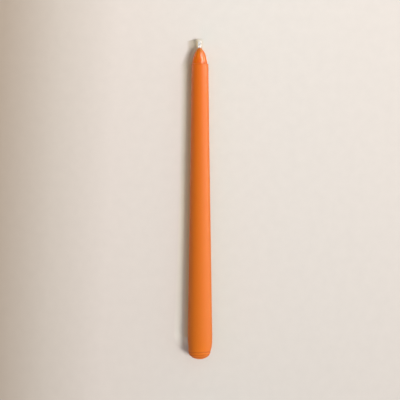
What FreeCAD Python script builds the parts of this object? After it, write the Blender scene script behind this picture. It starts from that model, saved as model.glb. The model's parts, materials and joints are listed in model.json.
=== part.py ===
import FreeCAD, Part
import math
import os

import Sketcher
from FreeCAD import Placement, Rotation, Vector

# A taper candle: one solid of wax, drawn in and domed at the butt and with an ogive tip, on a
# plaited cotton wick that runs from the cut end of the butt to a stub above the tip.
# Lengths are in millimetres. Each piece is drawn standing on its butt, with +Z towards the
# wick, and is then laid on its side with the tip towards +X, as it lies on a table.

SIZES = [
    # the taper and the butt
    ("widest_diameter", 22.6, "widest ring of the butt, which fills a holder's socket"),
    ("widest_height", 21.0, "cut end of the butt to its widest ring"),
    ("shoulder_diameter", 15.2, "thin end of the taper, at the ledge under the tip"),
    ("shoulder_height", 271.3, "cut end of the butt to the ledge under the tip"),
    ("draw_in_radius", 90.0, "long curve of the side from the widest ring to the butt"),
    ("dome_margin", 1.4, "how much more the radius of the butt's dome is than that of the widest ring"),
    ("cut_end_diameter", 5.0, "flat where the butt is cut off"),
    ("butt_corner_radius", 4.5, "rounding between the side and the dome"),
    ("lap_height", 6.9, "cut end of the butt to the upper lap ring"),
    ("lap_spacing", 1.9, "from one lap ring to the next"),
    ("lap_depth", 0.12, "depth of a lap ring"),
    ("lap_width", 0.8, "width of a lap ring"),
    # the tip
    ("ledge_width", 0.4, "ledge round the foot of the tip, before the tip is set off the middle"),
    ("tip_length", 14.1, "ledge to the top of the tip"),
    ("tip_side_radius", 45.0, "long curve of the tip's side"),
    ("tip_crown_height", 10.0, "ledge to where that curve ends"),
    ("tip_crown_radius", 14.0, "shorter curve from there, which closes in on the wick"),
    ("tip_top_diameter", 3.7, "top of the tip before its rim is rounded"),
    ("tip_rim_radius", 0.5, "rounding of the rim round the wick"),
    ("tip_offset", 0.2, "how far the tip and the wick stand off the middle of the taper"),
    # the wick
    ("wick_diameter", 2.9, "plaited wick"),
    ("wick_clearance", 0.02, "between the wick and the wax, all round"),
    ("wick_stub_length", 7.5, "top of the tip to the top of the wick"),
    ("strand_diameter", 0.9, "one of the three strands of the plait"),
    ("strand_inset", 0.06, "from the outside of the plait to the outside of the wick's core"),
    ("strand_step", 0.35, "how much shorter each strand is cut than the one before"),
    ("plait_pitch", 9.0, "length in which a strand comes back to where it was"),
    ("plait_root", 0.8, "how deep the strands start below the top of the tip"),
    ("head_length", 2.0, "loose end of the wick, where the strands open out"),
    ("head_spread", 0.35, "how far they open out at the cut"),
]

STRANDS = 3
POINTS_PER_PITCH = 10
SWEEP_TOLERANCE = 0.01

doc = FreeCAD.newDocument("taper_candle")
sheet = doc.addObject("Spreadsheet::Sheet", "Sizes")
for row, (name, value, meaning) in enumerate(SIZES, start=1):
    sheet.set(f"A{row}", name)
    sheet.set(f"B{row}", str(value))
    sheet.setAlias(f"B{row}", name)
    sheet.set(f"C{row}", meaning)
doc.recompute()


def size(name):
    return float(sheet.get(name))


def formula_value(formula):
    return float(sheet.evalExpression(formula))


# Sketches, and dimensions tied to the sheet

START, END, CENTRE = range(1, 4)
LEVEL_AXIS, UPRIGHT_AXIS = range(-1, -3, -1)
ORIGIN = (LEVEL_AXIS, START)


def new_sketch(body, name, role):
    sketch = body.newObject("Sketcher::SketchObject", name)
    plane = next(plane for plane in body.Origin.OriginFeatures if plane.Role == role)
    sketch.AttachmentSupport = [(plane, "")]
    sketch.MapMode = "FlatFace"
    return sketch


def join(sketch, *places):
    sketch.addConstraint(Sketcher.Constraint("Coincident", *places))


def hold(sketch, kind, *places):
    sketch.addConstraint(Sketcher.Constraint(kind, *places))


def drive(sketch, kind, name, formula, *places):
    number = sketch.addConstraint(Sketcher.Constraint(kind, *places, formula_value(formula)))
    sketch.renameConstraint(number, name)
    sketch.setExpression(f"Constraints.{name}", formula)


def chain(sketch, count):
    """Joins each of the outline's curves to the next, and the last to the first."""
    for number in range(count):
        join(sketch, number, END, (number + 1) % count, START)


def arc(centre, radius, start_deg, end_deg):
    """An arc near its place; the constraints then settle where it starts and ends."""
    circle = Part.Circle(centre, Vector(0, 0, 1), radius)
    return Part.ArcOfCircle(circle, math.radians(start_deg), math.radians(end_deg))


def outwards(turn_deg):
    return Vector(math.cos(math.radians(turn_deg)), math.sin(math.radians(turn_deg)), 0)


def revolve(body, kind, name, sketch):
    feature = body.newObject(kind, name)
    feature.Profile = sketch
    feature.ReferenceAxis = (sketch, ["V_Axis"])
    feature.Angle = 360
    doc.recompute()
    return feature


def ring_edge(shape, radius, height):
    """Name of the round edge whose radius and height come nearest to those given."""

    def miss(number):
        curve = shape.Edges[number].Curve
        if not isinstance(curve, Part.Circle):
            return math.inf
        return math.hypot(curve.Radius - radius, curve.Center.z - height)

    return f"Edge{min(range(len(shape.Edges)), key=miss) + 1}"


def round_edge(body, name, edge, radius_name):
    base = body.Tip
    fillet = body.newObject("PartDesign::Fillet", name)
    fillet.Base = (base, [edge])
    fillet.setExpression("Radius", f"Sizes.{radius_name}")
    doc.recompute()
    return fillet


# The wax: a turned taper, a turned tip on the wick's own axis, and the way for the wick


def taper_outline(body):
    """Half section from the cut end of the butt, out and up the side, to the ledge."""
    sketch = new_sketch(body, "taper_outline", "YZ_Plane")
    widest, side = size("widest_diameter") / 2, size("draw_in_radius")
    dome_radius = "Sizes.widest_diameter / 2 + Sizes.dome_margin"
    side_centre = Vector(widest - side, size("widest_height"), 0)
    dome_centre = Vector(0, formula_value(dome_radius), 0)
    cut_edge = Vector(size("cut_end_diameter") / 2, 0, 0)
    taper_foot = side_centre + Vector(side, 0, 0)
    shoulder = Vector(size("shoulder_diameter") / 2, size("shoulder_height"), 0)
    top = Vector(0, size("shoulder_height"), 0)
    cut_end, dome, draw_in, taper, ledge, middle = range(6)
    sketch.addGeometry(
        [
            Part.LineSegment(Vector(), cut_edge),
            arc(dome_centre, formula_value(dome_radius), -78, -40),
            arc(side_centre, side, -11, 1),
            Part.LineSegment(taper_foot, shoulder),
            Part.LineSegment(shoulder, top),
            Part.LineSegment(top, Vector()),
        ]
    )
    join(sketch, cut_end, START, *ORIGIN)
    chain(sketch, 6)
    hold(sketch, "Horizontal", cut_end)
    hold(sketch, "PointOnObject", dome, CENTRE, UPRIGHT_AXIS)
    hold(sketch, "Tangent", draw_in, taper)
    hold(sketch, "Horizontal", ledge)
    hold(sketch, "PointOnObject", ledge, END, UPRIGHT_AXIS)
    drive(sketch, "DistanceX", "cut_end_half", "Sizes.cut_end_diameter / 2", cut_end, START, cut_end, END)
    drive(sketch, "Radius", "dome", dome_radius, dome)
    drive(sketch, "Radius", "draw_in", "Sizes.draw_in_radius", draw_in)
    drive(
        sketch,
        "DistanceX",
        "draw_in_centre",
        "Sizes.draw_in_radius - Sizes.widest_diameter / 2",
        draw_in,
        CENTRE,
        *ORIGIN,
    )
    drive(sketch, "DistanceY", "widest_height", "Sizes.widest_height", *ORIGIN, draw_in, CENTRE)
    drive(sketch, "DistanceX", "shoulder_half", "Sizes.shoulder_diameter / 2", *ORIGIN, taper, END)
    drive(sketch, "DistanceY", "shoulder_height", "Sizes.shoulder_height", *ORIGIN, taper, END)
    return sketch


def tip_outline(body):
    """Half section of the tip, on the wick's axis: an ogive from the ledge to the top."""
    sketch = new_sketch(body, "tip_outline", "YZ_Plane")
    sketch.setExpression("AttachmentOffset.Base.x", "Sizes.tip_offset")
    ledge_height = size("shoulder_height")
    foot_half = "Sizes.shoulder_diameter / 2 - Sizes.ledge_width"
    foot, rim = formula_value(foot_half), size("tip_top_diameter") / 2
    side_radius, crown_radius = size("tip_side_radius"), size("tip_crown_radius")
    foot_turn, crown_turn, rim_turn = 9, 22, 42
    side_centre = Vector(foot, ledge_height, 0) - outwards(foot_turn) * side_radius
    crown_centre = side_centre + outwards(crown_turn) * (side_radius - crown_radius)
    base = Vector(0, ledge_height, 0)
    top = Vector(0, ledge_height + size("tip_length"), 0)
    top_edge = top + Vector(rim, 0, 0)
    foot_line, side_curve, crown_curve, top_line, middle = range(5)
    sketch.addGeometry(
        [
            Part.LineSegment(base, base + Vector(foot, 0, 0)),
            arc(side_centre, side_radius, foot_turn, crown_turn),
            arc(crown_centre, crown_radius, crown_turn, rim_turn),
            Part.LineSegment(top_edge, top),
            Part.LineSegment(top, base),
        ]
    )
    join(sketch, foot_line, END, side_curve, START)
    hold(sketch, "Tangent", side_curve, END, crown_curve, START)
    join(sketch, crown_curve, END, top_line, START)
    join(sketch, top_line, END, middle, START)
    join(sketch, middle, END, foot_line, START)
    hold(sketch, "Horizontal", foot_line)
    hold(sketch, "Horizontal", top_line)
    hold(sketch, "PointOnObject", foot_line, START, UPRIGHT_AXIS)
    hold(sketch, "PointOnObject", top_line, END, UPRIGHT_AXIS)
    drive(sketch, "DistanceY", "ledge", "Sizes.shoulder_height", *ORIGIN, foot_line, START)
    drive(sketch, "DistanceX", "foot_half", foot_half, foot_line, START, foot_line, END)
    drive(sketch, "Radius", "side_curve", "Sizes.tip_side_radius", side_curve)
    drive(sketch, "DistanceY", "crown_height", "Sizes.tip_crown_height", foot_line, END, side_curve, END)
    drive(sketch, "Radius", "crown_curve", "Sizes.tip_crown_radius", crown_curve)
    drive(sketch, "DistanceY", "length", "Sizes.tip_length", middle, END, middle, START)
    drive(sketch, "DistanceX", "top_half", "Sizes.tip_top_diameter / 2", top_line, END, top_line, START)
    return sketch


def wick_way(body):
    """The way that the wick keeps open through the wax, from end to end."""
    sketch = new_sketch(body, "wick_way_outline", "XY_Plane")
    radius = "Sizes.wick_diameter / 2 + Sizes.wick_clearance"
    sketch.addGeometry(Part.Circle(Vector(0, size("tip_offset"), 0), Vector(0, 0, 1), formula_value(radius)))
    hold(sketch, "PointOnObject", 0, CENTRE, UPRIGHT_AXIS)
    drive(sketch, "DistanceY", "offset", "Sizes.tip_offset", *ORIGIN, 0, CENTRE)
    drive(sketch, "Radius", "radius", radius, 0)
    pocket = body.newObject("PartDesign::Pocket", "wick_way")
    pocket.Profile = sketch
    pocket.Type = "ThroughAll"
    pocket.Reversed = True
    doc.recompute()
    return pocket


def lap_rings(body):
    """Two shallow rings round the butt, where one coat of wax laps over the other."""
    sketch = new_sketch(body, "lap_ring_outline", "YZ_Plane")
    for number, height in enumerate(["Sizes.lap_height", "Sizes.lap_height - Sizes.lap_spacing"]):
        drop = f"(Sizes.widest_height - ({height}))"
        side = f"Sizes.widest_diameter / 2 - Sizes.draw_in_radius + sqrt(Sizes.draw_in_radius ^ 2 - {drop} ^ 2)"
        floor = Vector(formula_value(f"{side} - Sizes.lap_depth"), formula_value(height), 0)
        out, up = 2 * size("lap_depth"), size("lap_width")
        corners = [floor, floor + Vector(out, -up, 0), floor + Vector(out, up, 0)]
        lower, mouth, upper = range(3 * number, 3 * number + 3)
        for corner, next_corner in zip(corners, corners[1:] + corners[:1]):
            sketch.addGeometry(Part.LineSegment(corner, next_corner))
        join(sketch, lower, END, mouth, START)
        join(sketch, mouth, END, upper, START)
        join(sketch, upper, END, lower, START)
        hold(sketch, "Vertical", mouth)
        drive(sketch, "DistanceX", f"floor_{number}", f"{side} - Sizes.lap_depth", *ORIGIN, lower, START)
        drive(sketch, "DistanceY", f"height_{number}", height, *ORIGIN, lower, START)
        drive(sketch, "DistanceX", f"mouth_{number}", "2 * Sizes.lap_depth", lower, START, lower, END)
        drive(sketch, "DistanceY", f"below_{number}", "Sizes.lap_width", lower, END, lower, START)
        drive(sketch, "DistanceY", f"above_{number}", "Sizes.lap_width", lower, START, upper, START)
    return revolve(body, "PartDesign::Groove", "lap_rings", sketch)


def make_wax():
    body = doc.addObject("PartDesign::Body", "wax_body")
    outline = taper_outline(body)
    revolve(body, "PartDesign::Revolution", "taper", outline)
    corner = outline.getPoint(1, END)
    round_edge(body, "butt_corner", ring_edge(body.Tip.Shape, corner.x, corner.y), "butt_corner_radius")
    revolve(body, "PartDesign::Revolution", "tip", tip_outline(body))
    top = ring_edge(body.Tip.Shape, size("tip_top_diameter") / 2, formula_value("shoulder_height + tip_length"))
    round_edge(body, "tip_rim", top, "tip_rim_radius")
    wick_way(body)
    lap_rings(body)
    return body


# The wick: a plain round core inside the wax, and three plaited strands above it


def strand_path(number):
    """Middle line of one strand: a figure of eight, within the wick's round, as it climbs."""
    across = (size("wick_diameter") - size("strand_diameter")) / 2 - size("strand_inset")
    lift = across / math.sqrt(2)
    tip_top = size("shoulder_height") + size("tip_length")
    top = tip_top + size("wick_stub_length")
    low, high = tip_top - size("plait_root"), top - number * size("strand_step")
    count = math.ceil(POINTS_PER_PITCH * (high - low) / size("plait_pitch"))
    points = []
    for step in range(count + 1):
        height = low + (high - low) * step / count
        angle = 2 * math.pi * ((height - low) / size("plait_pitch") + number / STRANDS)
        loose = max(0, 1 - (top - height) / size("head_length")) ** 2
        spread = 1 + loose * size("head_spread") / across
        along_x = spread * lift * math.sin(2 * angle)
        along_y = size("tip_offset") + spread * across * math.sin(angle)
        points.append(Vector(along_x, along_y, height))
    path = Part.BSplineCurve()
    path.interpolate(points)
    return path


def make_strand(number):
    path = strand_path(number)
    foot, heading = path.value(path.FirstParameter), path.tangent(path.FirstParameter)[0]
    sweep = Part.BRepOffsetAPI.MakePipeShell(Part.Wire(path.toShape()))
    sweep.add(Part.Wire(Part.Circle(foot, heading, size("strand_diameter") / 2).toShape()))
    sweep.setTolerance(SWEEP_TOLERANCE, SWEEP_TOLERANCE, 0.1)
    sweep.build()
    sweep.makeSolid()
    strand = doc.addObject("Part::Feature", f"strand_{number + 1}")
    strand.Shape = sweep.shape()
    return strand


def make_wick():
    core = doc.addObject("Part::Cylinder", "wick_core")
    core.setExpression("Radius", "Sizes.wick_diameter / 2")
    core.setExpression("Height", "Sizes.shoulder_height + Sizes.tip_length")
    core.setExpression("Placement.Base.y", "Sizes.tip_offset")
    wick = doc.addObject("Part::MultiFuse", "wick")
    wick.Shapes = [core] + [make_strand(number) for number in range(STRANDS)]
    doc.recompute()
    return wick


# Lying on a table: the side of the taper is level, so the middle line tips down to the wick


def lying():
    side_radius = size("draw_in_radius")
    out = size("shoulder_diameter") / 2 - size("widest_diameter") / 2 + side_radius
    up = size("shoulder_height") - size("widest_height")
    lean = math.atan2(up, out) - math.acos(side_radius / math.hypot(out, up))
    table = size("shoulder_diameter") / 2 * math.cos(lean) + size("shoulder_height") * math.sin(lean)
    whole = size("shoulder_height") + size("tip_length") + size("wick_stub_length")
    butt = Vector(-whole / 2 * math.cos(lean), 0, table)
    return Placement(butt, Rotation(Vector(0, 1, 0), 90 + math.degrees(lean)))


pieces = {"wax_body": make_wax(), "wick": make_wick()}
for label, piece in pieces.items():
    piece.Label = label
    piece.Placement = lying()
doc.recompute()

for item in doc.Objects:
    if {"Invalid", "Error"} & set(item.State):
        raise RuntimeError(f"{item.Name} failed: {item.State}")
for label, piece in pieces.items():
    if piece.Shape.isNull() or not piece.Shape.isValid():
        raise RuntimeError(f"{label} has no valid shape")
    if len(piece.Shape.Solids) != 1:
        raise RuntimeError(f"{label} has {len(piece.Shape.Solids)} solids, not one")

os.makedirs("parts", exist_ok=True)
for label, piece in pieces.items():
    piece.Shape.exportStep(f"parts/{label}.step")
    box = piece.Shape.optimalBoundingBox()
    print(label, f"{piece.Shape.Volume / 1000:.3f} cm3", box)
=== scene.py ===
import json
import math

import bpy
from mathutils import Matrix, Vector

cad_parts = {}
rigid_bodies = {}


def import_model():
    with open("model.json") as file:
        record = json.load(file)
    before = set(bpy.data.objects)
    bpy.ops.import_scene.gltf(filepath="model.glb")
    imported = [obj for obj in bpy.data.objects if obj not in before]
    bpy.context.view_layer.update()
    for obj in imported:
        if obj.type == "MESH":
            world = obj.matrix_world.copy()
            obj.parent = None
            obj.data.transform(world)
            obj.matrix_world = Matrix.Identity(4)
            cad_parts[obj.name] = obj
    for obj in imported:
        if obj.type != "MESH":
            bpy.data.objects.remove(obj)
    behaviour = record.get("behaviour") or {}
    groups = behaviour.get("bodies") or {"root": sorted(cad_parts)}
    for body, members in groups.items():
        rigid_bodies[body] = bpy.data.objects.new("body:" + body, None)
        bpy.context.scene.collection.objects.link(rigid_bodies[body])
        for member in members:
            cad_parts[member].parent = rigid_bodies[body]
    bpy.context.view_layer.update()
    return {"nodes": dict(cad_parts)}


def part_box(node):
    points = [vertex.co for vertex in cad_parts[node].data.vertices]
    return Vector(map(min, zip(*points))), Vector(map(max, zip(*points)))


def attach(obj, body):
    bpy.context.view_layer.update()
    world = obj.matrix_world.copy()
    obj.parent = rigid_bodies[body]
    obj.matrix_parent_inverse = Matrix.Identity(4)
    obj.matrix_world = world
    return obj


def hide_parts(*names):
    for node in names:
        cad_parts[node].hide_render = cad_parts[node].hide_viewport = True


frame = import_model()
print("frame loaded:", ", ".join(sorted(frame["nodes"])))

mm = 0.001
upward = Vector((0, 0, 1))


# small helpers

def deselectAll():
    if bpy.context.object and bpy.context.object.mode != "OBJECT":
        bpy.ops.object.mode_set(mode="OBJECT")
    bpy.ops.object.select_all(action="DESELECT")


def pick(piece):
    deselectAll()
    piece.select_set(True)
    bpy.context.view_layer.objects.active = piece


def selectPoints(piece, wanted):  # in edit mode: selects the vertices whose place passes the test
    bpy.ops.object.mode_set(mode="OBJECT")
    for edge in piece.data.edges:
        edge.select = False
    for face in piece.data.polygons:
        face.select = False
    for vertex in piece.data.vertices:
        vertex.select = wanted(vertex.co)
    bpy.ops.object.mode_set(mode="EDIT")


def hexColour(code):  # sRGB hex to the linear values that a socket takes
    linear = []
    for start in (1, 3, 5):
        part = int(code[start:start + 2], 16) / 255
        linear.append(part / 12.92 if part <= 0.04045 else ((part + 0.055) / 1.055) ** 2.4)
    return (*linear, 1.0)


def addNode(tree, kind, settings=None, links=None):
    node = tree.nodes.new("ShaderNode" + kind)
    for name, value in (settings or {}).items():
        if isinstance(name, int) or name in node.inputs:
            node.inputs[name].default_value = value
        else:
            setattr(node, name, value)
    for name, source in (links or {}).items():
        tree.links.new(source, node.inputs[name])
    return node


def newMaterial(name):
    material = bpy.data.materials.new(name)
    material.use_nodes = True
    tree = material.node_tree
    tree.nodes.clear()
    return material, tree


def feed(tree, socket, source):  # a source is a value or another node's output
    if isinstance(source, bpy.types.NodeSocket):
        tree.links.new(source, socket)
    else:
        socket.default_value = source


def noise(tree, place, size, detail):
    return addNode(tree, "TexNoise", {"Scale": 1 / size, "Detail": detail}, {"Vector": place}).outputs["Fac"]


def mapRange(tree, source, fromMin, fromMax, toMin=0.0, toMax=1.0):
    limits = {"From Min": fromMin, "From Max": fromMax, "To Min": toMin, "To Max": toMax}
    return addNode(tree, "MapRange", limits, {"Value": source}).outputs["Result"]


def reckon(tree, operation, *terms):
    node = addNode(tree, "Math", {"operation": operation})
    for number, term in enumerate(terms):
        feed(tree, node.inputs[number], term)
    return node.outputs[0]


def mixColours(tree, blend, share, base, tone):
    node = addNode(tree, "Mix", {"data_type": "RGBA", "blend_type": blend})
    for number, source in ((0, share), (6, base), (7, tone)):
        feed(tree, node.inputs[number], source)
    return node.outputs[2]


def addRamp(tree, source, stops):  # stops: place on the ramp, and a hex colour or a number for a grey
    node = addNode(tree, "ValToRGB", links={"Fac": source})
    elements = node.color_ramp.elements
    while len(elements) < len(stops):
        elements.new(0.5)
    for element, (place, tone) in zip(elements, stops):
        element.position = place
        element.color = hexColour(tone) if isinstance(tone, str) else (tone, tone, tone, 1.0)
    return node.outputs["Color"]


# the candle is modelled standing on its butt, then laid on its side with the tip towards +X

wax = {
    "widest": 22.6 * mm,  # widest ring of the butt
    "widestUp": 21.0 * mm,  # heights are above the cut end
    "shoulder": 15.2 * mm,  # thin end of the taper
    "shoulderUp": 271.3 * mm,
    "drawIn": 90.0 * mm,  # radius of the long curve down to the butt
    "domeMargin": 1.4 * mm,  # the dome's radius is half the widest ring and this much more
    "cutEnd": 5.0 * mm,  # width of the flat end
    "buttCorner": 4.5 * mm,  # radius between the dome and the long curve
    "lipRound": 0.3 * mm,  # radius of the ledge's lip
    "lipTurn": 80,  # degrees by which the lip turns in
    "ledge": 0.4 * mm,  # how far the tip's foot steps in
    "tipLength": 14.1 * mm,
    "tipLean": 8.9,  # degrees by which the tip's side leans in at its foot
    "tipSide": 45.0 * mm,  # radius of the lower of the tip's two curves
    "crownUp": 10.0 * mm,  # above the ledge, where the upper curve takes over
    "tipCrown": 14.0 * mm,
    "tipOffset": 0.2 * mm,  # the tip and the wick's way stand this far off the middle line
    "shoulderSwell": 0.2 * mm,  # the wax is a little full just below the ledge
    "shoulderSwellLength": 40.0 * mm,
    "tipSwell": 0.3 * mm,  # and in the upper half of the tip
    "tipSwellUp": 9.5 * mm,
    "tipSwellLength": 4.5 * mm,
    # a bead of wax round the foot of the wick: height above the tip's rim, distance from the wick's way
    "bead": [
        (0.1 * mm, 0.52 * mm), (0.3 * mm, 0.58 * mm), (0.5 * mm, 0.5 * mm), (0.65 * mm, 0.32 * mm),
        (0.7 * mm, 0.05 * mm),
    ],
    "beadDip": 0.05 * mm,  # from the bead's top down to the wick
    # where one dip ends over another: height above the cut end, depth and half width of each ring
    "laps": [
        (6.8 * mm, 0.10 * mm, 0.35 * mm), (4.3 * mm, 0.08 * mm, 0.35 * mm), (2.3 * mm, 0.06 * mm, 0.3 * mm),
    ],
    "lapZone": 10 * mm,  # the rings lie below this height
    "rowStep": 2.2 * mm,  # rows along the straight taper
    "roundSteps": 80,  # points round the candle, and along each curve of its outline
    "arcSteps": {"dome": 26, "corner": 6, "laps": 34, "side": 10, "lip": 4, "tip": 20, "crown": 12},
    "steadyCore": 3 * mm,  # nothing nearer to the middle line is displaced
    "unevenSize": 26 * mm,
    "unevenDepth": 0.10 * mm,
    "unevenFrom": 1 * mm,  # below the ledge
    "unevenFade": 8 * mm,  # length over which the unevenness grows to its full depth
    "wobbleSize": 5 * mm,  # the wander of the lap rings
    "wobbleDepth": 0.5 * mm,
    "buttAside": 0.5 * mm,  # the butt's last centimetre bulges to one side
    "buttTop": 11 * mm,  # wander and bulge end here
    "buttFade": 4 * mm,  # length over which they grow below it
    "glossBelow": 0.05 * mm,  # the glossy wax starts this far below the ledge
}
wick = {
    "diameter": 2.9 * mm,  # of the core
    "clearance": 0.02 * mm,  # between the core and the wax
    "plaitOffset": 0.2 * mm,  # the plait stands a little beside the middle of its hole
    "stub": 7.5 * mm,  # height of the plait above the tip
    "strands": 3,
    "strand": 1.30 * mm,  # thickness
    "across": 0.95 * mm,  # from the middle of the plait to the middle of a strand
    "pitch": 9.0 * mm,  # length in which the plait repeats
    "root": 0.8 * mm,  # how deep the strands start below the top of the tip
    "step": 0.35 * mm,  # how much shorter each strand is cut than the one before
    "headLength": 4.0 * mm,  # the plait's top, which comes loose
    "headSpread": 0.55 * mm,
    "yarns": 6,
    "yarnPoints": 5,
    "yarnTurn": 2.6 * mm,  # length in which a strand's yarns go round once
    "grooveFloor": 0.80,  # of the strand's radius
    "grooveDepth": 0.22,
    "rings": 40,  # cross sections along a strand
    "coreSides": 48,
    "creaseAngle": 50,  # degrees
}
wholeLength = wax["shoulderUp"] + wax["tipLength"] + wick["stub"]


def layDown(piece):  # the side of the taper is level on the table, so the middle line dips to the tip
    side = wax["drawIn"]
    thinEnd = wax["shoulder"] / 2 + wax["shoulderSwell"]
    out = thinEnd - wax["widest"] / 2 + side
    up = wax["shoulderUp"] - wax["widestUp"]
    lean = math.atan2(up, out) - math.acos(side / math.hypot(out, up))
    table = thinEnd * math.cos(lean) + wax["shoulderUp"] * math.sin(lean)
    turn = Matrix.Rotation(math.pi / 2 + lean, 4, "Y")
    piece.matrix_world = Matrix.Translation((-wholeLength / 2 * math.cos(lean), 0, table)) @ turn
    pick(piece)
    bpy.ops.object.transform_apply(location=True, rotation=True, scale=True)


def arcPoints(centre, radius, startAngle, endAngle, count):
    points = []
    for step in range(count + 1):
        angle = startAngle + (endAngle - startAngle) * step / count
        points.append(Vector((centre[0] + radius * math.cos(angle), centre[1] + radius * math.sin(angle))))
    return points


def circlesMeet(first, firstRadius, second, secondRadius):  # the lower of the two crossings
    apart = second - first
    reach = apart.length
    along = (firstRadius ** 2 - secondRadius ** 2 + reach ** 2) / (2 * reach)
    across = math.sqrt(firstRadius ** 2 - along ** 2)
    middle = first + apart.normalized() * along
    sideways = Vector((-apart.y, apart.x)).normalized() * across
    return min(middle + sideways, middle - sideways, key=lambda point: point.y)


def angleFrom(centre, point):
    return math.atan2(point.y - centre.y, point.x - centre.x)


def waxOutline():  # half section as radius and height, from the wick's way at the butt to the tip
    widest, shoulder, steps = wax["widest"] / 2, wax["shoulder"] / 2, wax["arcSteps"]
    way = wick["diameter"] / 2 + wick["clearance"]
    domeRadius = widest + wax["domeMargin"]
    cutEdge = Vector((wax["cutEnd"] / 2, 0))
    domeCentre = Vector((0, math.sqrt(domeRadius ** 2 - cutEdge.x ** 2)))
    sideCentre = Vector((widest - wax["drawIn"], wax["widestUp"]))
    corner = wax["buttCorner"]
    cornerCentre = circlesMeet(domeCentre, domeRadius - corner, sideCentre, wax["drawIn"] - corner)
    domeEnd = angleFrom(domeCentre, cornerCentre)
    sideStart = angleFrom(sideCentre, cornerCentre)
    lean = math.atan2(wax["shoulderUp"] - sideCentre.y, shoulder - sideCentre.x)
    lean -= math.acos(wax["drawIn"] / math.hypot(wax["shoulderUp"] - sideCentre.y, shoulder - sideCentre.x))

    points = [Vector((way, 0)), Vector(((way + cutEdge.x) / 2, 0))]
    points += arcPoints(domeCentre, domeRadius, angleFrom(domeCentre, cutEdge), domeEnd, steps["dome"])
    points += arcPoints(cornerCentre, corner, domeEnd, sideStart, steps["corner"])[1:]
    lapTop = math.asin((wax["lapZone"] - sideCentre.y) / wax["drawIn"])
    points += arcPoints(sideCentre, wax["drawIn"], sideStart, lapTop, steps["laps"])[1:]
    points += arcPoints(sideCentre, wax["drawIn"], lapTop, lean, steps["side"])[1:]

    taperFoot, lipStart = points[-1], Vector((shoulder, wax["shoulderUp"] - wax["lipRound"]))
    rows = round((lipStart.y - taperFoot.y) / wax["rowStep"])
    points += [taperFoot.lerp(lipStart, row / rows) for row in range(1, rows + 1)]
    lipCentre = lipStart - Vector((wax["lipRound"], 0))
    points += arcPoints(lipCentre, wax["lipRound"], 0, math.radians(wax["lipTurn"]), steps["lip"])[1:]

    leanIn, ledgeUp = math.radians(wax["tipLean"]), wax["shoulderUp"]
    handOver = math.asin(math.sin(leanIn) + wax["crownUp"] / wax["tipSide"])
    tipCentre = Vector((shoulder - wax["ledge"], ledgeUp))
    tipCentre -= wax["tipSide"] * Vector((math.cos(leanIn), math.sin(leanIn)))
    crownCentre = Vector((math.cos(handOver), math.sin(handOver))) * (wax["tipSide"] - wax["tipCrown"])
    crownCentre += tipCentre
    rimTurn = math.asin((ledgeUp + wax["tipLength"] - crownCentre.y) / wax["tipCrown"])
    points += arcPoints(tipCentre, wax["tipSide"], leanIn, handOver, steps["tip"])
    points += arcPoints(crownCentre, wax["tipCrown"], handOver, rimTurn, steps["crown"])[1:]
    for point in points:
        if point.y < ledgeUp:
            below = ledgeUp - point.y
            point.x += wax["shoulderSwell"] * math.exp(-((below / wax["shoulderSwellLength"]) ** 2))
        else:
            above = point.y - ledgeUp - wax["tipSwellUp"]
            point.x += wax["tipSwell"] * math.exp(-((above / wax["tipSwellLength"]) ** 2))
    rimUp = points[-1].y
    points += [Vector((way + out, rimUp + up)) for up, out in wax["bead"]]
    points.append(Vector((way, points[-1].y - wax["beadDip"])))
    for point in points:
        if point.x > cutEdge.x and point.y < wax["lapZone"]:
            for height, depth, width in wax["laps"]:
                point.x -= depth * math.exp(-(((point.y - height) / width) ** 2))
    return points


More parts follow.
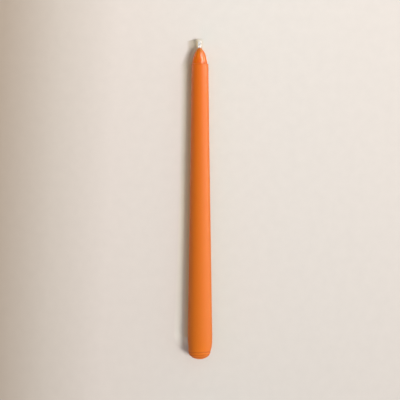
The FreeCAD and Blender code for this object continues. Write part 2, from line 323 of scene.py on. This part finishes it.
def makeWaxBody():
    outline = waxOutline()
    deselectAll()
    bpy.ops.mesh.primitive_plane_add(size=mm, location=(0, 0, 0))
    piece = bpy.context.object
    piece.name = "waxBody"
    bpy.ops.object.mode_set(mode="EDIT")
    bpy.ops.mesh.merge(type="CENTER")
    bpy.ops.transform.translate(value=(outline[0].x, 0, outline[0].y))
    for here, after in zip(outline, outline[1:] + outline[:1]):
        step = (after.x - here.x, 0, after.y - here.y)
        bpy.ops.mesh.extrude_vertices_move(TRANSFORM_OT_translate={"value": step})
    bpy.ops.mesh.select_all(action="SELECT")
    bpy.ops.mesh.spin(steps=wax["roundSteps"], angle=2 * math.pi, center=(0, 0, 0), axis=(0, 0, 1))
    bpy.ops.mesh.select_all(action="SELECT")
    bpy.ops.mesh.remove_doubles(threshold=0.001 * mm)
    bpy.ops.mesh.normals_make_consistent(inside=False)
    # the tip and the wick's way stand a little off the middle of the taper
    tipFoot = wax["shoulder"] / 2 - wax["ledge"] / 2
    way = wick["diameter"] / 2 + wax["tipOffset"]
    ledgeUp = wax["shoulderUp"] - 0.01 * mm  # a hair below the ledge, so that its points count

    def offMiddle(place):
        out = math.hypot(place.x, place.y)
        return out < way or (place.z > ledgeUp and out < tipFoot)

    selectPoints(piece, offMiddle)
    bpy.ops.transform.translate(value=(0, wax["tipOffset"], 0))
    bpy.ops.object.mode_set(mode="OBJECT")
    smooth = piece.modifiers.new("smooth", "SUBSURF")
    smooth.levels = smooth.render_levels = 1
    bpy.ops.object.modifier_apply(modifier="smooth")

    # hand-dipped unevenness along the taper, lap rings that wander a little, and the butt's bulge
    side = piece.vertex_groups.new(name="side")
    butt = piece.vertex_groups.new(name="butt")
    for vertex in piece.data.vertices:
        up, out = vertex.co.z, math.hypot(vertex.co.x, vertex.co.y)
        if out > wax["steadyCore"]:
            sideShare = (wax["shoulderUp"] - wax["unevenFrom"] - up) / wax["unevenFade"]
            side.add([vertex.index], min(1, max(0, sideShare)), "REPLACE")
            buttShare = (wax["buttTop"] - up) / wax["buttFade"]
            butt.add([vertex.index], min(1, max(0, buttShare)), "REPLACE")
    for name, axis, size, depth, group in (
        ("uneven", "NORMAL", wax["unevenSize"], wax["unevenDepth"], "side"),
        ("wobble", "Z", wax["wobbleSize"], wax["wobbleDepth"], "butt"),
        ("bulge", "Y", None, wax["buttAside"], "butt"),
    ):
        displace = piece.modifiers.new(name, "DISPLACE")
        if size:
            displace.texture = bpy.data.textures.new(name, "CLOUDS")
            displace.texture.noise_scale = size
            displace.texture.noise_depth = 1
        displace.direction = axis
        displace.strength = depth
        displace.mid_level = 0.5 if size else 0.0
        displace.vertex_group = group
        bpy.ops.object.modifier_apply(modifier=name)
    layDown(piece)
    bpy.ops.object.shade_smooth()
    return piece


# the wick: three strands of twisted cotton, plaited, on the round core that the wax holds


def plaitPoint(number, height):
    top = wholeLength
    low = top - wick["stub"] - wick["root"]
    angle = 2 * math.pi * ((height - low) / wick["pitch"] + number / wick["strands"])
    loose = max(0, 1 - (top - height) / wick["headLength"]) ** 2
    spread = 1 + loose * wick["headSpread"] / wick["across"]
    return Vector((
        spread * wick["across"] / math.sqrt(2) * math.sin(2 * angle),
        wax["tipOffset"] + wick["plaitOffset"] + spread * wick["across"] * math.sin(angle),
        height,
    ))


def makeStrand(number):
    top = wholeLength
    low, high = top - wick["stub"] - wick["root"], top - number * wick["step"]
    radius = wick["strand"] / 2
    around = wick["yarns"] * wick["yarnPoints"]
    rings = range(wick["rings"] + 1)
    places = [plaitPoint(number, low + (high - low) * ring / wick["rings"]) for ring in rings]
    deselectAll()
    bpy.ops.mesh.primitive_circle_add(vertices=around, radius=radius, fill_type="NGON", location=places[0])
    strand = bpy.context.object
    bpy.ops.object.transform_apply(location=True)
    # a strand is round with a groove between each two yarns
    for vertex in strand.data.vertices:
        out = vertex.co - places[0]
        lobe = abs(math.sin(math.atan2(out.y, out.x) * wick["yarns"] / 2))
        vertex.co = places[0] + out * (wick["grooveFloor"] + wick["grooveDepth"] * lobe)
    bpy.ops.object.mode_set(mode="EDIT")
    bpy.ops.mesh.select_all(action="SELECT")
    heading = upward.copy()
    twist = 2 * math.pi * (high - low) / wick["rings"] / wick["yarnTurn"]
    for ring in rings:
        before, after = places[max(0, ring - 1)], places[min(wick["rings"], ring + 1)]
        aim = (after - before).normalized()
        if ring:
            step = places[ring] - places[ring - 1]
            bpy.ops.mesh.extrude_region_move(TRANSFORM_OT_translate={"value": step})
            bpy.ops.transform.rotate(value=twist, orient_axis="Z", center_override=places[ring])
        swing = heading.rotation_difference(aim)
        axis, angle = swing.to_axis_angle()
        if angle > 1e-6:  # a straight run needs no turn
            turnPlane = axis.to_track_quat("Z", "Y").to_matrix()
            bpy.ops.transform.rotate(
                value=-angle, orient_axis="Z", orient_type="GLOBAL", orient_matrix=turnPlane,
                orient_matrix_type="GLOBAL", center_override=places[ring],
            )
        heading = aim
    bpy.ops.object.mode_set(mode="OBJECT")
    return strand


def makeWick():
    deselectAll()
    tipTop = wholeLength - wick["stub"]
    bpy.ops.mesh.primitive_cylinder_add(
        vertices=wick["coreSides"], radius=wick["diameter"] / 2, depth=tipTop,
        location=(0, wax["tipOffset"], tipTop / 2),
    )
    piece = bpy.context.object
    piece.name = "wickPlait"
    bpy.ops.object.transform_apply(location=True)
    strands = [makeStrand(number) for number in range(wick["strands"])]
    pick(piece)
    for strand in strands:
        strand.select_set(True)
    bpy.ops.object.join()
    layDown(piece)
    bpy.ops.object.shade_smooth_by_angle(angle=math.radians(wick["creaseAngle"]))
    return piece


# finishes

def satinWax(buttX, ledgeX):
    # dipped candle wax, coloured right through: light sinks in and comes back warm; the skin has a soft sheen
    # that grows glossier from the butt to the tip, and its colour holds painted shade towards the butt and
    # painted light, brighter and a little redder, towards the tip
    material, tree = newMaterial("satinWax")
    place = addNode(tree, "TexCoord").outputs["Object"]
    along = addNode(tree, "SeparateXYZ", links={"Vector": place}).outputs["X"]
    cloudShare = 0.1  # of the way from butt to tip, by which the dye's tone wanders
    toTip = mapRange(tree, along, buttX, ledgeX, 0.0, 1 - cloudShare)
    share = reckon(tree, "MULTIPLY_ADD", noise(tree, place, 14 * mm, 3.0), cloudShare, toTip)
    # the wax's own orange, with painted shade darker towards the butt and painted light brighter towards the
    # tip
    dyeAndPaintedLight = addRamp(tree, share, ((0.0, "#DA700D"), (0.55, "#E1710B"), (0.95, "#EC7009")))
    # painted shade: darker bands in the grooves where one dip ends over another at the butt; they wander as
    # the rings do
    wander, lineHalf = 2.4 * mm, 0.7 * mm
    moved = reckon(tree, "MULTIPLY_ADD", noise(tree, place, 7 * mm, 2.0), wander, along)
    lapStart = buttX + wander / 2
    aboveButt = mapRange(tree, moved, lapStart, lapStart + wax["lapZone"])
    paintedGrooveShade = addRamp(tree, aboveButt, [
        ((lap[0] + offset) / wax["lapZone"], "#FFFFFF" if offset else "#DCCFC2")
        for lap in reversed(wax["laps"]) for offset in (-lineHalf, 0, lineHalf)
    ])
    grooveShaded = mixColours(tree, "MULTIPLY", 1.0, dyeAndPaintedLight, paintedGrooveShade)
    # the skin's fine grain, drawn coarse enough to show
    grain = noise(tree, place, 1.2 * mm, 4.0)
    buttRough, tipRough, grainRough = 0.62, 0.34, 0.1
    dull = mapRange(tree, toTip, 0.0, 1 - cloudShare, buttRough, tipRough)
    rough = reckon(tree, "MULTIPLY_ADD", grain, grainRough, dull)
    bump = addNode(tree, "Bump", {"Strength": 0.25, "Distance": 0.02 * mm}, {"Height": grain})
    polishLength, polishTop = 40 * mm, 0.5
    polish = mapRange(tree, along, ledgeX - polishLength, ledgeX, 0.0, polishTop)
    shader = addNode(
        tree,
        "BsdfPrincipled",
        {
            "IOR": 1.44,
            "Subsurface Weight": 0.12,
            "Subsurface Radius": (1.0, 0.35, 0.12),
            "Subsurface Scale": 2 * mm,
            "Coat Roughness": 0.25,
            "Coat IOR": 1.4,
        },
        {
            "Base Color": grooveShaded,
            "Roughness": rough,
            "Normal": bump.outputs["Normal"],
            "Coat Weight": reckon(tree, "POWER", polish, 2.0),
        },
    )
    addNode(tree, "OutputMaterial", links={"Surface": shader.outputs["BSDF"]})
    return material


def glossWax(ledgeX, topX):
    # the last dip at the tip sets smooth and wet-looking, with a narrow bright streak; it is thin, so light
    # comes through, and its colour is painted brighter, a clearer orange towards the top, as a painted glow
    material, tree = newMaterial("glossWax")
    place = addNode(tree, "TexCoord").outputs["Object"]
    along = addNode(tree, "SeparateXYZ", links={"Vector": place}).outputs["X"]
    toTop = mapRange(tree, along, ledgeX, topX)
    # the wax's orange, painted brighter towards the top as a painted glow
    dyeAndPaintedLight = addRamp(tree, toTop, ((0.0, "#EE780B"), (0.5, "#FF7E0C"), (1.0, "#FF880F")))
    ripple = noise(tree, place, 3 * mm, 2.0)
    bump = addNode(tree, "Bump", {"Strength": 0.3, "Distance": 0.05 * mm}, {"Height": ripple})
    shader = addNode(
        tree,
        "BsdfPrincipled",
        {
            "IOR": 1.44,
            "Roughness": 0.28,
            "Subsurface Weight": 1.0,
            "Subsurface Radius": (1.0, 0.35, 0.12),
            "Subsurface Scale": 3 * mm,
        },
        {"Base Color": dyeAndPaintedLight, "Normal": bump.outputs["Normal"]},
    )
    addNode(tree, "OutputMaterial", links={"Surface": shader.outputs["BSDF"]})
    return material


def plaitedCotton(footX):
    # bleached cotton yarn: dull and fuzzy, with wax drawn up into its foot
    material, tree = newMaterial("plaitedCotton")
    place = addNode(tree, "TexCoord").outputs["Object"]
    along = addNode(tree, "SeparateXYZ", links={"Vector": place}).outputs["X"]
    # fibres are about 0.02 mm thick; these are drawn coarser so that they show
    fibre = noise(tree, place, 0.15 * mm, 3.0)
    cotton = addRamp(tree, fibre, ((0.3, "#F6F3EE"), (0.6, "#FEFDFA")))
    soakStart, soakEnd = footX + 0.1 * mm, footX + 0.6 * mm
    soaked = mapRange(tree, along, soakStart, soakEnd, 1.0, 0.0)
    tint = mixColours(tree, "MIX", soaked, cotton, hexColour("#F0A060"))
    bump = addNode(tree, "Bump", {"Strength": 0.6, "Distance": 0.05 * mm}, {"Height": fibre})
    shader = addNode(
        tree,
        "BsdfPrincipled",
        {
            "Roughness": 0.85,
            "Sheen Weight": 0.4,
            "Sheen Roughness": 0.5,
            "Subsurface Weight": 0.9,
            "Subsurface Radius": (1.0, 0.95, 0.9),
            "Subsurface Scale": 2 * mm,
        },
        {"Base Color": tint, "Normal": bump.outputs["Normal"]},
    )
    addNode(tree, "OutputMaterial", links={"Surface": shader.outputs["BSDF"]})
    return material


# X runs along the candle to the tip, and Y across it, away from the lamp
paper = {
    "slant": 0.05,  # the tones across the table lie this much askew to the candle
    "paintedShadeReach": 190 * mm,  # from the middle to either side
    "paintedFalloffReach": 180 * mm,  # from the middle to either end
    # painted light falloff along the table
    "levels": (0.888, 1.088),  # from the butt's end to the tip's
    "mottleSize": 9 * mm,
    "mottleNoise": (0.3, 0.7),  # the part of the noise that is used, and the brightness that it gives
    "mottle": (0.985, 1.01),
    "ringX": -125 * mm,  # the widest ring
    "ledgeX": 125 * mm,
    "rimX": 139 * mm,  # the top of the tip
    "wickEndX": 146.6 * mm,
    "rimWidth": 0.2,  # of the width at the ledge
    "paintedShadowToneEndX": 145 * mm,
    # these set where the painted shadow and the painted casts beside the candle reach
    "buttNear": 0.78,  # distances from the butt count this much, so that its shadow reaches farther out
    "shadowEnd": (147 * mm, 154 * mm),
    "shadowEndPush": 20 * mm,  # more distance past the shadow's end, which takes its tone away
    "tipPush": 12 * mm,  # the same on the lit side of the slim tip, which casts less
    "sideBlend": 4 * mm,  # from the middle line to where a side's casts are at their full weight
    "paintedCastReach": 45 * mm,  # from the candle to where the widest cast ends
}


def palePaper():
    # uncoated stock: matt, warm white, faintly mottled, with painted shade towards the side away from the
    # lamp
    material, tree = newMaterial("palePaper")
    place = addNode(tree, "TexCoord").outputs["Object"]
    axes = addNode(tree, "SeparateXYZ", links={"Vector": place})
    along, across = axes.outputs["X"], axes.outputs["Y"]
    aside = reckon(tree, "ADD", across, reckon(tree, "MULTIPLY", along, paper["slant"]))
    # painted shade: these tones darken the paper towards the side away from the lamp
    tone = addRamp(tree, mapRange(tree, aside, -paper["paintedShadeReach"], paper["paintedShadeReach"]), (
        (0.0, "#E5DED8"), (0.45, "#E5E0DA"), (0.72, "#E5DCD5"), (0.86, "#D5CBC1"), (1.0, "#B9AA9B"),
    ))
    # painted light falloff: the paper is painted darker towards the butt's end and lighter towards the tip's
    level = mapRange(tree, along, -paper["paintedFalloffReach"], paper["paintedFalloffReach"], *paper["levels"])
    cloud = noise(tree, place, paper["mottleSize"], 5.0)
    mottle = mapRange(tree, cloud, *paper["mottleNoise"], *paper["mottle"])
    mixed = mixColours(tree, "MULTIPLY", 1.0, tone, reckon(tree, "MULTIPLY", level, mottle))

    # how far a place on the paper is from the candle's outline
    halfWidth = mapRange(tree, along, paper["ringX"], paper["ledgeX"], wax["widest"] / 2, wax["shoulder"] / 2)
    narrowing = mapRange(tree, along, paper["ledgeX"], paper["rimX"], 1.0, paper["rimWidth"])
    edge = reckon(tree, "MULTIPLY", halfWidth, narrowing)
    outside = reckon(tree, "SUBTRACT", reckon(tree, "ABSOLUTE", across), edge)
    middleX, halfLength = (paper["wickEndX"] + paper["ringX"]) / 2, (paper["wickEndX"] - paper["ringX"]) / 2
    fromMiddle = reckon(tree, "ABSOLUTE", reckon(tree, "SUBTRACT", along, middleX))
    pastEnd = reckon(tree, "SUBTRACT", fromMiddle, halfLength)
    offset = addNode(tree, "CombineXYZ", links={
        "X": reckon(tree, "MAXIMUM", pastEnd, 0.0), "Y": reckon(tree, "MAXIMUM", outside, 0.0),
    })
    away = addNode(tree, "VectorMath", {"operation": "LENGTH"}, {0: offset.outputs[0]}).outputs["Value"]
    tipPush = mapRange(tree, along, paper["ledgeX"], paper["rimX"], 0.0, paper["tipPush"])
    lit = reckon(tree, "ADD", away, tipPush)
    buttNear = mapRange(tree, along, paper["ringX"], 0.0, paper["buttNear"], 1.0)
    endPush = mapRange(tree, along, *paper["shadowEnd"], 0.0, paper["shadowEndPush"])
    shaded = reckon(tree, "MULTIPLY_ADD", away, buttNear, endPush)

    # painted shadow and painted light beside the candle: a cool painted tint on the lit side cancels the
    # wax's orange bounce; the painted shadow is warm, paler towards the butt and deeper towards the tip, with
    # a cooler painted rim, and is painted warmest next to the wax
    toTip = mapRange(tree, along, paper["ringX"], paper["paintedShadowToneEndX"])
    paintedShadowTone = addRamp(tree, toTip, (
        (0.0, "#F7F8EE"), (0.46, "#F8F3DA"), (0.83, "#F3EFD8"), (1.0, "#E6DEC8"),
    ))
    paintedShadowRimTone = addRamp(tree, toTip, (
        (0.4, "#FFFFFF"), (0.6, "#F2F2F5"), (0.9, "#F0F0F3"), (1.0, "#E2DEDC"),
    ))
    paintedLitCastFade = ((0, 1), (5, 0.77), (10, 0.57), (20, 0.27), (30, 0.09), (45, 0))
    # side: -1 is the lit one; weights: by the distance in mm
    for blend, side, distance, weights, paintedCastTone in (
        ("MULTIPLY", -1, lit, paintedLitCastFade, hexColour("#F2FFFF")),
        ("MIX", 1, shaded, ((0, 1), (5, 1), (10.5, 0)), paintedShadowTone),
        ("MULTIPLY", 1, shaded, ((3.5, 0), (6, 1), (8, 1), (11, 0)), paintedShadowRimTone),
        ("MULTIPLY", 1, shaded, ((0, 1), (1.2, 0.9), (3.2, 0)), hexColour("#F8EBD0")),
    ):
        stops = [(reach * mm / paper["paintedCastReach"], weight) for reach, weight in weights]
        weight = addRamp(tree, reckon(tree, "DIVIDE", distance, paper["paintedCastReach"]), stops)
        onSide = mapRange(tree, across, -paper["sideBlend"] * side, paper["sideBlend"] * side)
        mixed = mixColours(tree, blend, reckon(tree, "MULTIPLY", weight, onSide), mixed, paintedCastTone)
    shader = addNode(
        tree, "BsdfPrincipled", {"Roughness": 0.9, "Specular IOR Level": 0.0}, {"Base Color": mixed}
    )
    addNode(tree, "OutputMaterial", links={"Surface": shader.outputs["BSDF"]})
    return material


# the candle

waxBody = makeWaxBody()
buttX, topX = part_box("wax_body")[0][0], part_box("wax_body")[1][0]
ledgeX = topX - wax["tipLength"] - wax["glossBelow"]
waxBody.data.materials.append(satinWax(buttX, ledgeX))
waxBody.data.materials.append(glossWax(ledgeX, topX))
for face in waxBody.data.polygons:
    face.material_index = 1 if face.center.x > ledgeX else 0
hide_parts("wax_body")
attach(waxBody, "root")
print("wax body:", len(waxBody.data.polygons), "faces")

wickPlait = makeWick()
wickPlait.data.materials.append(plaitedCotton(topX))
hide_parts("wick")
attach(wickPlait, "root")
print("wick:", len(wickPlait.data.polygons), "faces")


# the table, the lamps and the camera

studio = {
    "tableSize": 6.0,
    "cameraUp": 1.3,
    "photoWidth": 368.2 * mm,  # what the photo's 400 pixels span at the candle's middle line
    "towardsButt": 0.35 * mm,  # from the candle's half length to the photo's middle row
    "sensor": 36.0,
    "airNear": 0.60,  # strength of the room's light on the lamp's side
    "airFar": 0.25,  # on the far side
    "airMirrored": 0.06,  # on the far side as the wax mirrors it
}
lamps = {
    "windowLamp": {
        "place": (-0.85, -1.62, 2.94), "size": (0.9, 1.15), "power": 89, "colour": "#FFFDFA",
    },
    "lowWall": {
        "place": (0.4, -1.2, 0.10), "size": (2.8, 0.20), "power": 19, "colour": "#FFFCF8", "glossOnly": True,
    },
    "tipStrip": {
        "place": (0.89, -0.78, 0.82), "size": (1.05, 0.42), "power": 24, "colour": "#FFFCF8",
        "aim": (0.135, 0, 0.012), "glossOnly": True,
    },
}


def makeTable():
    deselectAll()
    bpy.ops.mesh.primitive_plane_add(size=studio["tableSize"], location=(0, 0, 0))
    table = bpy.context.object
    table.name = "tableTop"
    table.data.materials.append(palePaper())


def addLamp(name, place, size, power, colour, aim=(0, 0, 0), glossOnly=False):
    deselectAll()
    bpy.ops.object.light_add(type="AREA", location=place)
    lamp = bpy.context.object
    lamp.name = name
    lamp.rotation_euler = (Vector(aim) - Vector(place)).to_track_quat("-Z", "Y").to_euler()
    lamp.data.shape = "RECTANGLE"
    lamp.data.size, lamp.data.size_y = size
    lamp.data.energy = power
    lamp.data.color = hexColour(colour)[:3]
    lamp.visible_diffuse = not glossOnly
    lamp.visible_glossy = glossOnly


def lightStudio():
    for name, settings in lamps.items():
        addLamp(name, **settings)
    world = bpy.data.worlds.new("studioAir")
    world.use_nodes = True
    tree = world.node_tree
    tree.nodes.clear()
    rays = addNode(tree, "LightPath").outputs
    heading = addNode(tree, "TexCoord").outputs["Generated"]
    farther = addNode(tree, "SeparateXYZ", links={"Vector": heading}).outputs["Y"]
    # the room is darker on the far side, and darker still where the wax mirrors it
    airs = []
    for farSide in (studio["airFar"], studio["airMirrored"]):
        glow = mapRange(tree, farther, -1.0, 1.0, studio["airNear"], farSide)
        airs.append(addNode(tree, "Background", {"Color": hexColour("#FBF9F7")}, {"Strength": glow}))
    air = addNode(
        tree, "MixShader", links={0: rays["Is Glossy Ray"], 1: airs[0].outputs[0], 2: airs[1].outputs[0]}
    )
    wall = addNode(tree, "Background", {"Color": hexColour("#E8DFD6"), "Strength": 1.0})
    shown = addNode(
        tree, "MixShader", links={0: rays["Is Camera Ray"], 1: air.outputs[0], 2: wall.outputs[0]}
    )
    addNode(tree, "OutputWorld", links={"Surface": shown.outputs[0]})
    bpy.context.scene.world = world


def placeCamera():
    axisUp = (wax["widest"] + wax["shoulder"]) / 4
    place = (-studio["towardsButt"], 0, axisUp + studio["cameraUp"])
    deselectAll()
    bpy.ops.object.camera_add(location=place, rotation=(0, 0, -math.pi / 2))
    camera = bpy.context.object
    camera.name = "overheadCamera"
    camera.data.sensor_width = studio["sensor"]
    camera.data.lens = studio["sensor"] * studio["cameraUp"] / studio["photoWidth"]
    bpy.context.scene.camera = camera


makeTable()
lightStudio()
placeCamera()
bpy.context.scene.view_settings.view_transform = "Standard"
print("table, lamps and camera placed")
